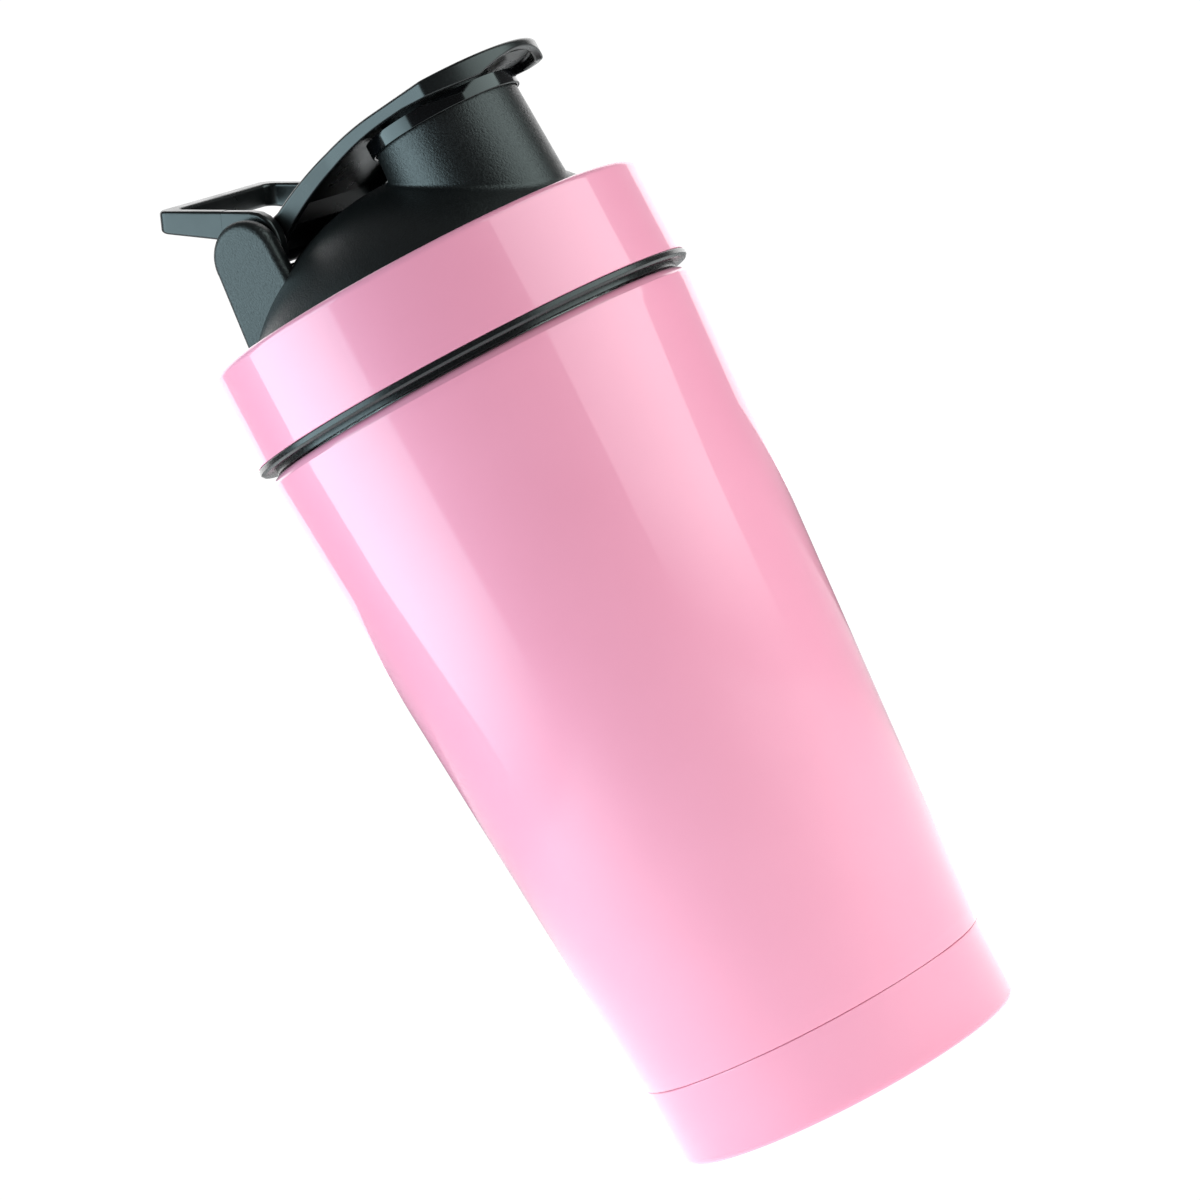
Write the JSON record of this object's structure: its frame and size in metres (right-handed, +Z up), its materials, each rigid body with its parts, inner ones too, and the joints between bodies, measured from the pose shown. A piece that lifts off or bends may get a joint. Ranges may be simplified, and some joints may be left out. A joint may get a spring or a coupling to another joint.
{
  "type": "protein shaker bottle",
  "caption": "Double-wall steel shaker bottle with tapered painted body, screw lid with steel collar, domed top, drinking spout, flip cap and carry loop.",
  "frame": {"origin": "centre of the base's flat underside", "axes": "+Z up along the bottle's axis, +X towards the drinking spout, Y along the hinge pin"},
  "size_m": [0.1002, 0.1002, 0.228],
  "materials": {
    "painted_skin": "gloss",
    "inner_steel": "satin",
    "solder": "satin",
    "getter_metal": "matte",
    "pin_steel": "polished",
    "ring_plastic": "gloss",
    "lid_plastic": "spark-textured",
    "cap_plastic": "satin",
    "loop_plastic": "satin",
    "grid_plastic": "satin",
    "silicone": "matte",
    "seal_silicone": "gloss"
  },
  "bodies": {
    "cup": {"outer_shell": "painted_skin", "base_cup": "painted_skin", "inner_liner": "inner_steel", "vacuum_base": "inner_steel", "vacuum_plug": "solder", "getter": "getter_metal"},
    "seal_ring": {"lid_gasket": "silicone"},
    "lid": {"lid_shell": "lid_plastic", "thread_ring": "ring_plastic", "lid_collar": "painted_skin", "mixing_grid": "grid_plastic", "hinge_pin": "pin_steel"},
    "cap": {"flip_cap": "cap_plastic", "cap_seal": "seal_silicone"},
    "loop": {"carry_loop": "loop_plastic"}
  },
  "joints": [
    {"name": "lid_lift", "type": "slide", "parent": "cup", "child": "seal_ring", "axis": [0, 0, 1], "range_m": [0, 0.024]},
    {"name": "lid_turn", "type": "hinge", "parent": "seal_ring", "child": "lid", "pos_m": [0, 0, 0.175], "axis": [0, 0, 1], "range_deg": [0, 720]},
    {"name": "cap_flip", "type": "hinge", "parent": "lid", "child": "cap", "pos_m": [-0.0219, 0, 0.2091], "axis": [0, -1, 0], "range_deg": [0, 98]},
    {"name": "loop_swing", "type": "hinge", "parent": "lid", "child": "loop", "pos_m": [-0.0219, 0, 0.2091], "axis": [0, -1, 0], "range_deg": [0, 55]}
  ],
  "couplings": [
    {"joint": "lid_lift", "follows": "lid_turn", "m_per_rad": 0.0019099}
  ]
}
